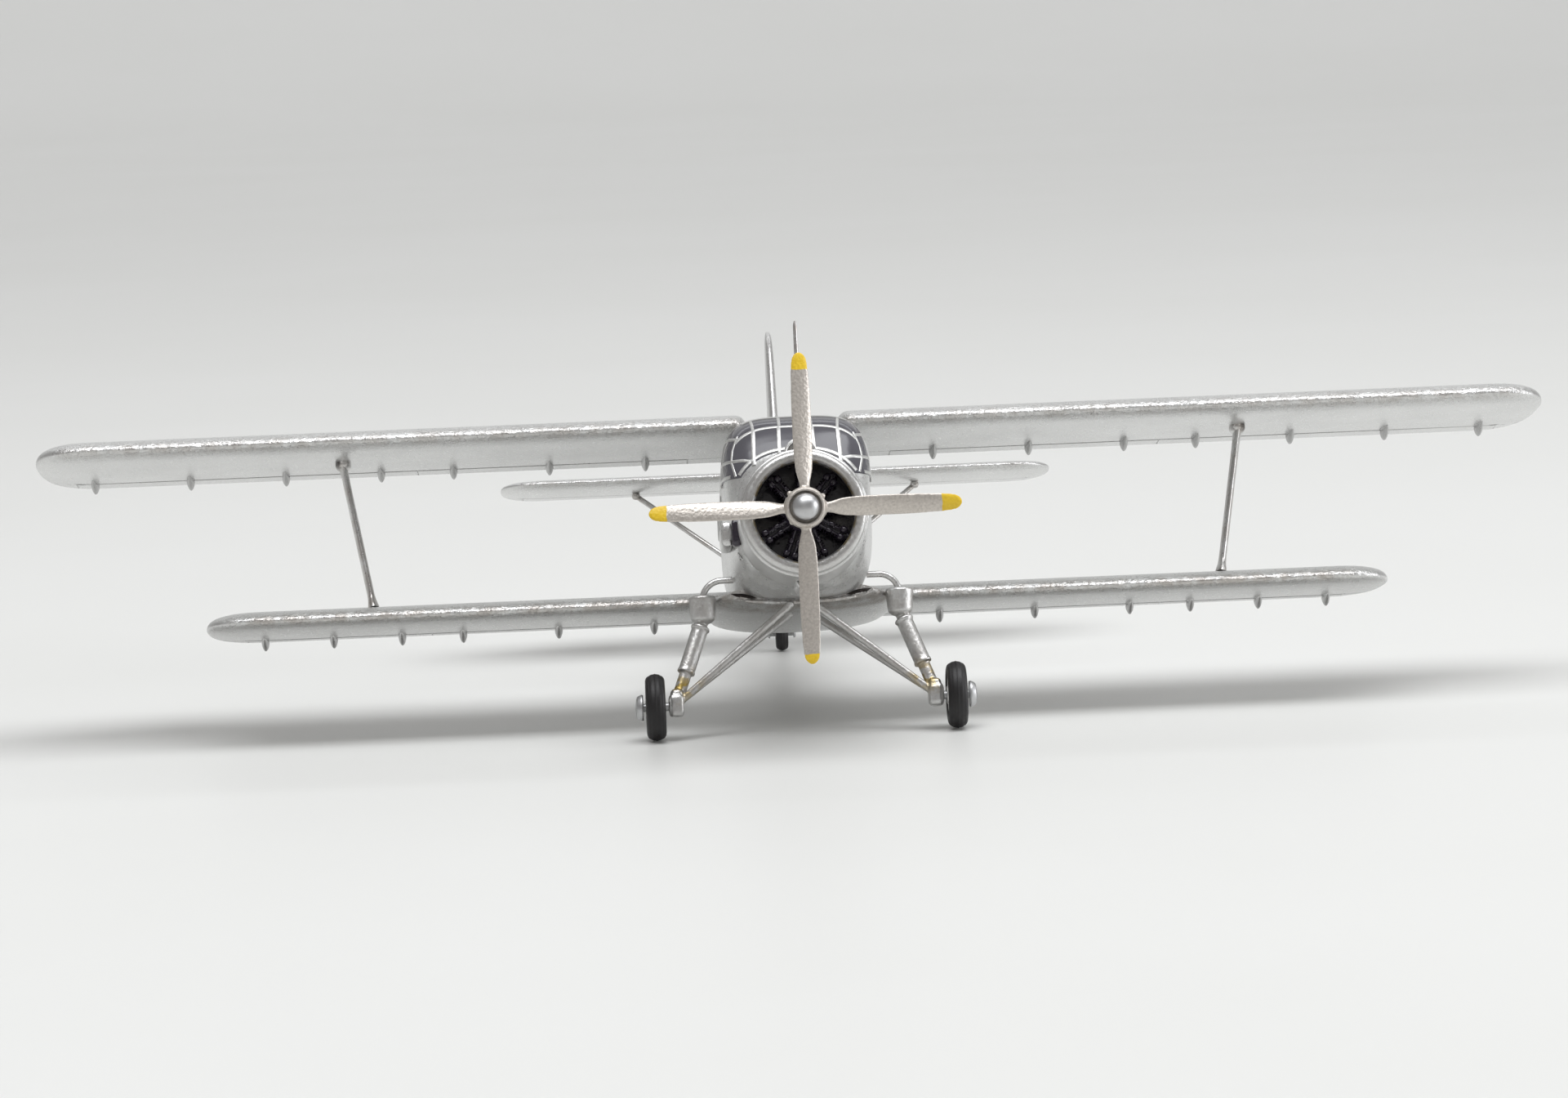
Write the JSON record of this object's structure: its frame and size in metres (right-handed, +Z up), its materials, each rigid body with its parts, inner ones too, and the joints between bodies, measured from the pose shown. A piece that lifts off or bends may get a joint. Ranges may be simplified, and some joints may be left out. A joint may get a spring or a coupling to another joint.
{
  "type": "biplane scale model",
  "caption": "Small silver display model of a single-engined utility biplane on its wheels, with a propeller and wheels that turn.",
  "frame": {"origin": "centre of the model's footprint box, on the surface that its three wheels stand on", "axes": "+X towards the port wing tip, -Y towards the propeller, +Z up"},
  "size_m": [0.0908, 0.0648, 0.0237],
  "materials": {
    "silver_paint": "satin metallic silver paint over a zinc casting",
    "smoked_glazing": "smoke-tinted clear plastic, polished, with painted frames",
    "black_moulding": "black injection moulding, semi-matt",
    "cast_propeller": "fine sand-textured metal with yellow painted tips",
    "plated_steel": "bright plated rivet",
    "tyre_rubber": "soft black rubber, satin"
  },
  "bodies": {
    "airframe": {"fuselage": "silver_paint", "cockpit_hood": "smoked_glazing", "porthole_left": "smoked_glazing", "porthole_right": "smoked_glazing", "cowling": "silver_paint", "engine": "black_moulding", "carburettor_scoop": "silver_paint", "oil_cooler": "silver_paint", "exhaust_pipe": "silver_paint", "propeller_pin": "plated_steel", "upper_wing_left": "silver_paint", "upper_wing_right": "silver_paint", "lower_wing": "silver_paint", "interplane_strut_left": "silver_paint", "interplane_strut_right": "silver_paint", "tailplane_left": "silver_paint", "tailplane_right": "silver_paint", "tail_brace_left": "silver_paint", "tail_brace_right": "silver_paint", "antenna_mast": "silver_paint", "main_gear_left": "silver_paint", "main_gear_right": "silver_paint", "gear_brace_left": "silver_paint", "gear_brace_right": "silver_paint", "axle_pin_left": "plated_steel", "axle_pin_right": "plated_steel", "tail_fork": "silver_paint", "tail_axle_pin": "plated_steel"},
    "propeller": {"propeller": "cast_propeller"},
    "wheel_left": {"tyre_left": "tyre_rubber", "wheel_hub_left": "silver_paint"},
    "wheel_right": {"tyre_right": "tyre_rubber", "wheel_hub_right": "silver_paint"},
    "tail_wheel": {"tail_tyre": "tyre_rubber", "tail_hub": "silver_paint"}
  },
  "joints": [
    {"name": "propeller_spin", "type": "hinge", "parent": "airframe", "child": "propeller", "pos_m": [0, -0.03048, 0.01456], "axis": [0, -0.9779, 0.2091], "continuous": true},
    {"name": "wheel_left_spin", "type": "hinge", "parent": "airframe", "child": "wheel_left", "pos_m": [0.00893, -0.01956, 0.002], "axis": [1, 0, 0], "continuous": true},
    {"name": "wheel_right_spin", "type": "hinge", "parent": "airframe", "child": "wheel_right", "pos_m": [-0.00893, -0.01956, 0.002], "axis": [1, 0, 0], "continuous": true},
    {"name": "tail_wheel_spin", "type": "hinge", "parent": "airframe", "child": "tail_wheel", "pos_m": [0, 0.02229, 0.00117], "axis": [1, 0, 0], "continuous": true}
  ]
}
